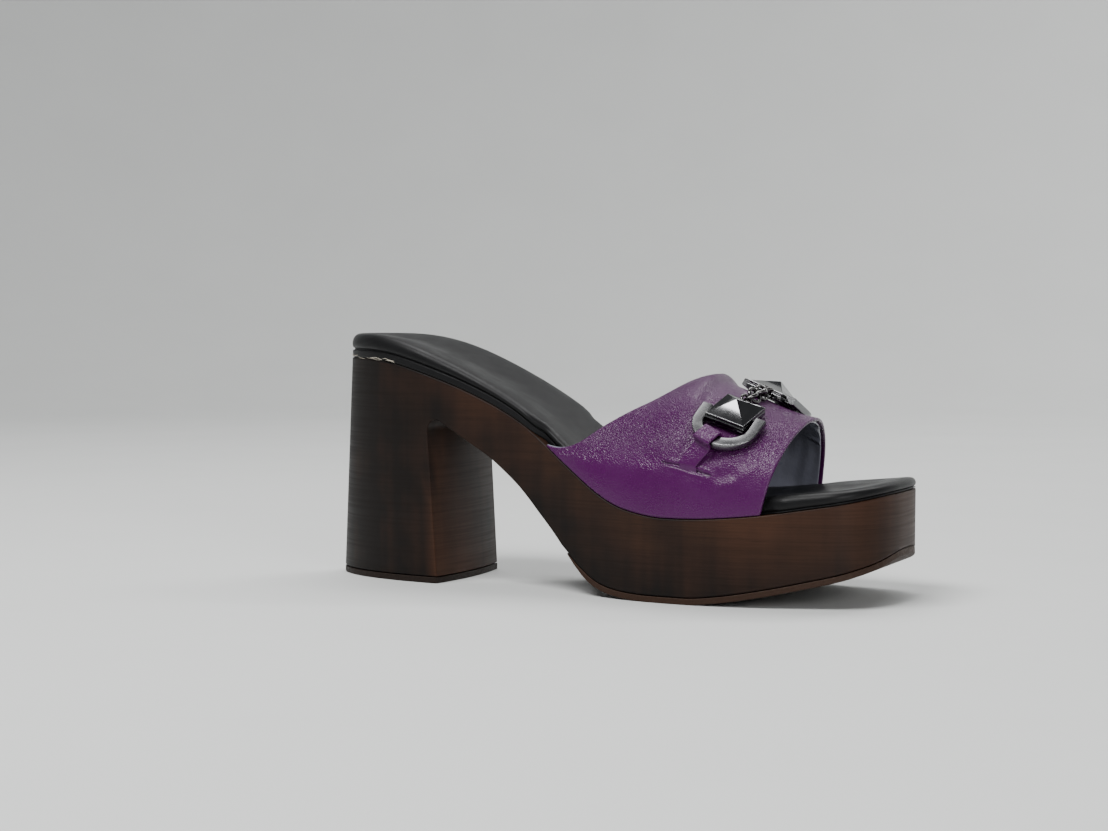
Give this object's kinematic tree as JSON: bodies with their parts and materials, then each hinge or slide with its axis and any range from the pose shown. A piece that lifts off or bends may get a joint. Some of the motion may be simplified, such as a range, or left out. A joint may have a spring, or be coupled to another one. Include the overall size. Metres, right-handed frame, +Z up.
{
  "type": "clog sandal",
  "caption": "Open-toed clog sandal for the right foot with a block heel, wood-look platform, padded insole, leather vamp and metal ornament",
  "frame": {"origin": "on the floor under the middle of the heel's wearing piece", "axes": "+X runs from the heel to the toe, +Y to the inner side of the foot, +Z up"},
  "size_m": [0.2353, 0.0812, 0.0973],
  "materials": {
    "wooden_sole": "dark burnished wood-look unit",
    "outsole": "dark brown tread",
    "heel_top_piece": "dark brown wearing piece",
    "insole": "semi-matt black, padded",
    "vamp": "purple pebbled leather, semi-gloss",
    "tab_leather": "purple pebbled leather, the vamp's own",
    "ring_metal": "satin dark nickel",
    "stud_metal": "polished gunmetal",
    "chain_metal": "polished dark nickel wire"
  },
  "bodies": {
    "root": {"wooden_sole": "wooden_sole", "outsole": "outsole", "heel_top_piece": "heel_top_piece", "insole": "insole", "vamp": "vamp", "tab_lateral": "tab_leather", "ring_lateral": "ring_metal", "stud_lateral": "stud_metal", "tab_medial": "tab_leather", "ring_medial": "ring_metal", "stud_medial": "stud_metal", "chain_link_1": "chain_metal", "chain_link_2": "chain_metal", "chain_link_3": "chain_metal", "chain_link_4": "chain_metal", "chain_link_5": "chain_metal"}
  },
  "joints": []
}
